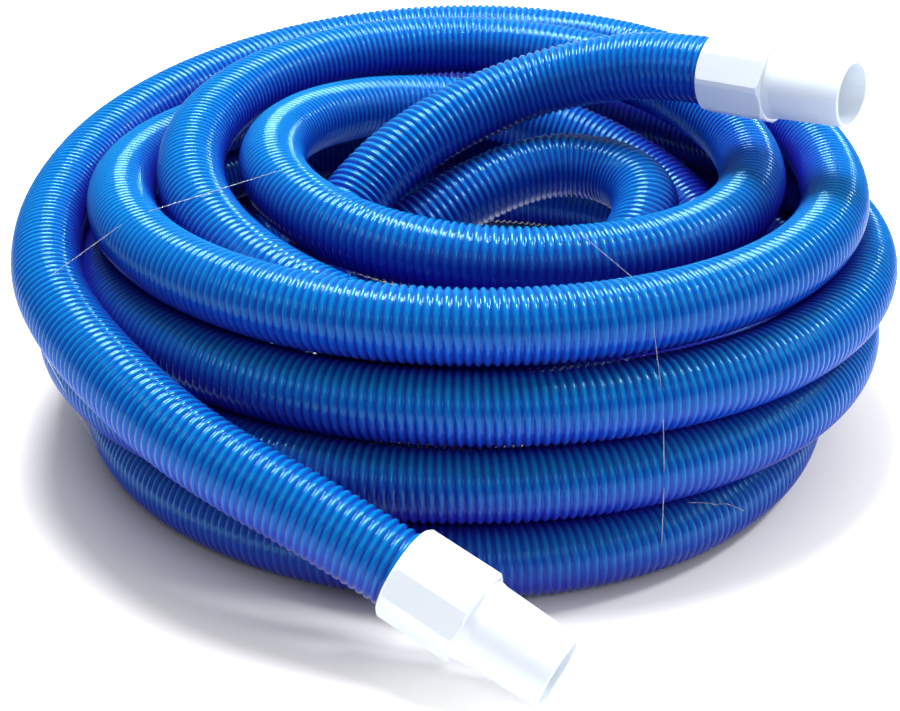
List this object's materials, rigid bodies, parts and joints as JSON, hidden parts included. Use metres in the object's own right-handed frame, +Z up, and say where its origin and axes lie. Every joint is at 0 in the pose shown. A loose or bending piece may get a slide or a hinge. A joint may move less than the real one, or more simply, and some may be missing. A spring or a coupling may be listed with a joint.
{
  "type": "pool vacuum hose",
  "caption": "Coiled ribbed suction hose for cleaning a pool, with a fixed cuff on one end and a swivel cuff on the other.",
  "frame": {"origin": "centre of the whole part's box, on the floor that the coil lies on", "axes": "+Z up out of the coil, -Y towards the side where the swivel cuff lies, +X to the right seen from there"},
  "size_m": [0.594, 0.6826, 0.2553],
  "materials": {
    "hose_blue": "glossy blown plastic",
    "cuff_white": "satin moulded plastic",
    "seal_rubber": "matt rubber",
    "bush_plastic": "low-friction plastic",
    "tie_clear": "clear nylon"
  },
  "bodies": {
    "root": {"hose_coil": "hose_blue", "hose_top_run": "hose_blue", "hose_front_run": "hose_blue", "fixed_cuff_shell": "cuff_white", "fixed_cuff_washer": "seal_rubber", "swivel_cuff_sleeve": "bush_plastic", "swivel_cuff_gasket": "seal_rubber", "tie_left": "tie_clear", "tie_right": "tie_clear"},
    "swivel_cuff": {"swivel_cuff_shell": "cuff_white", "swivel_cuff_bush": "bush_plastic"}
  },
  "joints": [
    {"name": "cuff_swivel", "type": "hinge", "parent": "root", "child": "swivel_cuff", "pos_m": [-0.0215, -0.2794, 0.05291], "axis": [0.8258, -0.4484, -0.342], "continuous": true}
  ]
}
